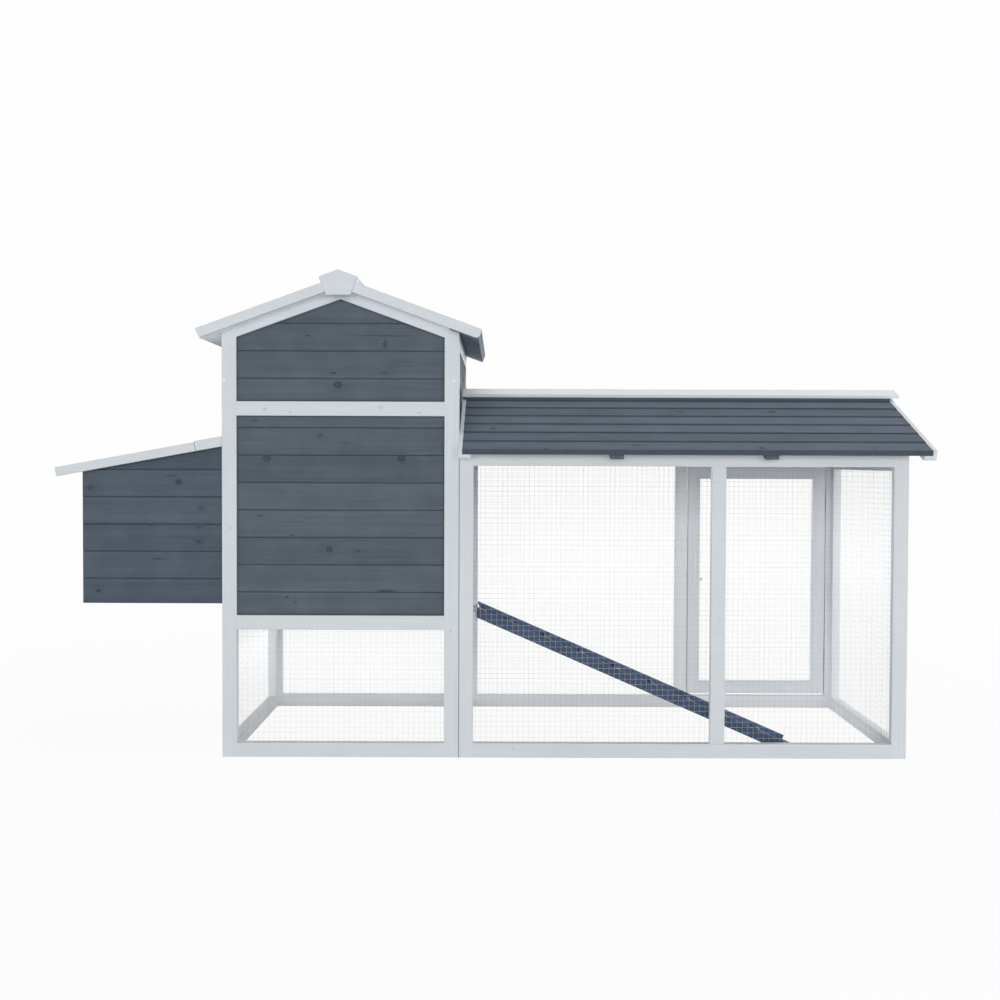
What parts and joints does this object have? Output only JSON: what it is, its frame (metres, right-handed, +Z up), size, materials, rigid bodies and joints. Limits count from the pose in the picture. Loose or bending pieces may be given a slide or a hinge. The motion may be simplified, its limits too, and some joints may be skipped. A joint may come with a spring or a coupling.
{
  "type": "chicken coop with run",
  "caption": "Timber chicken coop: a gabled house on legs with a lidded nest box at one end and a mesh-walled run with a ramp at the other.",
  "frame": {"origin": "on the ground, under the middle of the whole outline", "axes": "+X along the length from the nest box to the run's end, +Y from the plain side to the side with the doors, +Z up"},
  "size_m": [2.067, 0.7982, 1.139],
  "materials": {
    "white_timber": "satin white paint",
    "grey_boards": "matte dark grey paint",
    "ramp_paint": "matte blue-grey paint",
    "plain_wood": "planed, unpainted",
    "wire": "galvanised",
    "zinc_steel": "zinc plated",
    "tray_plastic": "matte"
  },
  "bodies": {
    "coop": {"house_front_frame": "white_timber", "house_rear_frame": "white_timber", "house_left_frame": "white_timber", "house_right_frame": "white_timber", "house_barge_boards": "white_timber", "house_ridge_cap": "white_timber", "house_ridge_plates": "white_timber", "house_roof_battens_left": "white_timber", "house_roof_battens_right": "white_timber", "nest_roof_strip": "white_timber", "run_front_frame": "white_timber", "run_rear_frame": "white_timber", "run_end_frame": "white_timber", "run_verge_battens": "white_timber", "run_ridge_cap": "white_timber", "pop_door_runners": "white_timber", "ramp_ledger": "white_timber", "house_front_boards": "grey_boards", "house_rear_boards": "grey_boards", "house_left_boards": "grey_boards", "house_right_boards": "grey_boards", "house_roof_boards_left": "grey_boards", "house_roof_boards_right": "grey_boards", "house_eave_batten_right": "grey_boards", "nest_box_walls": "grey_boards", "run_gable_boards": "grey_boards", "run_roof_front_slats": "grey_boards", "run_roof_rear_slats": "grey_boards", "run_roof_battens": "grey_boards", "house_floor": "plain_wood", "perch": "plain_wood", "perch_cleats": "plain_wood", "nest_box_floor": "plain_wood", "house_front_mesh": "wire", "house_rear_mesh": "wire", "house_left_mesh": "wire", "run_front_mesh": "wire", "run_rear_mesh": "wire", "run_end_mesh": "wire", "hinge_plates": "zinc_steel", "bolt_keepers": "zinc_steel"},
    "nest_lid": {"nest_lid_boards": "grey_boards", "nest_lid_trim": "white_timber", "nest_lid_hinge_leaves": "zinc_steel"},
    "house_door": {"house_door_frame": "white_timber", "house_door_boards": "grey_boards", "house_door_hinge_leaves": "zinc_steel", "house_door_bolt_plate": "zinc_steel"},
    "house_bolt": {"house_door_bolt": "zinc_steel"},
    "run_door": {"run_door_frame": "white_timber", "run_door_mesh": "wire", "run_door_hinge_leaves": "zinc_steel", "run_door_bolt_plate": "zinc_steel"},
    "run_bolt": {"run_door_bolt": "zinc_steel"},
    "tray": {"dropping_tray": "tray_plastic", "tray_front": "white_timber"},
    "pop_door": {"pop_door": "grey_boards"},
    "ramp": {"ramp_board": "ramp_paint", "ramp_rails": "ramp_paint", "ramp_hinge_leaves": "zinc_steel"}
  },
  "joints": [
    {"name": "nest_lid_hinge", "type": "hinge", "parent": "coop", "child": "nest_lid", "pos_m": [-0.70663, 0, 0.74533], "axis": [0, 1, 0], "range_deg": [0, 95]},
    {"name": "house_door_hinge", "type": "hinge", "parent": "coop", "child": "house_door", "pos_m": [-0.605, 0.349, 0.6115], "axis": [0, 0, 1], "range_deg": [0, 110]},
    {"name": "house_bolt_slide", "type": "slide", "parent": "house_door", "child": "house_bolt", "axis": [1, 0, 0], "range_m": [0, 0.014]},
    {"name": "run_door_hinge", "type": "hinge", "parent": "coop", "child": "run_door", "pos_m": [0.936, 0.349, 0.363], "axis": [0, 0, -1], "range_deg": [0, 110]},
    {"name": "run_bolt_slide", "type": "slide", "parent": "run_door", "child": "run_bolt", "axis": [-1, 0, 0], "range_m": [0, 0.014]},
    {"name": "tray_slide", "type": "slide", "parent": "coop", "child": "tray", "axis": [0, 1, 0], "range_m": [0, 0.56]},
    {"name": "pop_door_slide", "type": "slide", "parent": "coop", "child": "pop_door", "axis": [0, -1, 0], "range_m": [0, 0.19]},
    {"name": "ramp_hinge", "type": "hinge", "parent": "coop", "child": "ramp", "pos_m": [-0.042, -0.23, 0.344], "axis": [0, -1, 0], "range_deg": [0, 40]}
  ]
}
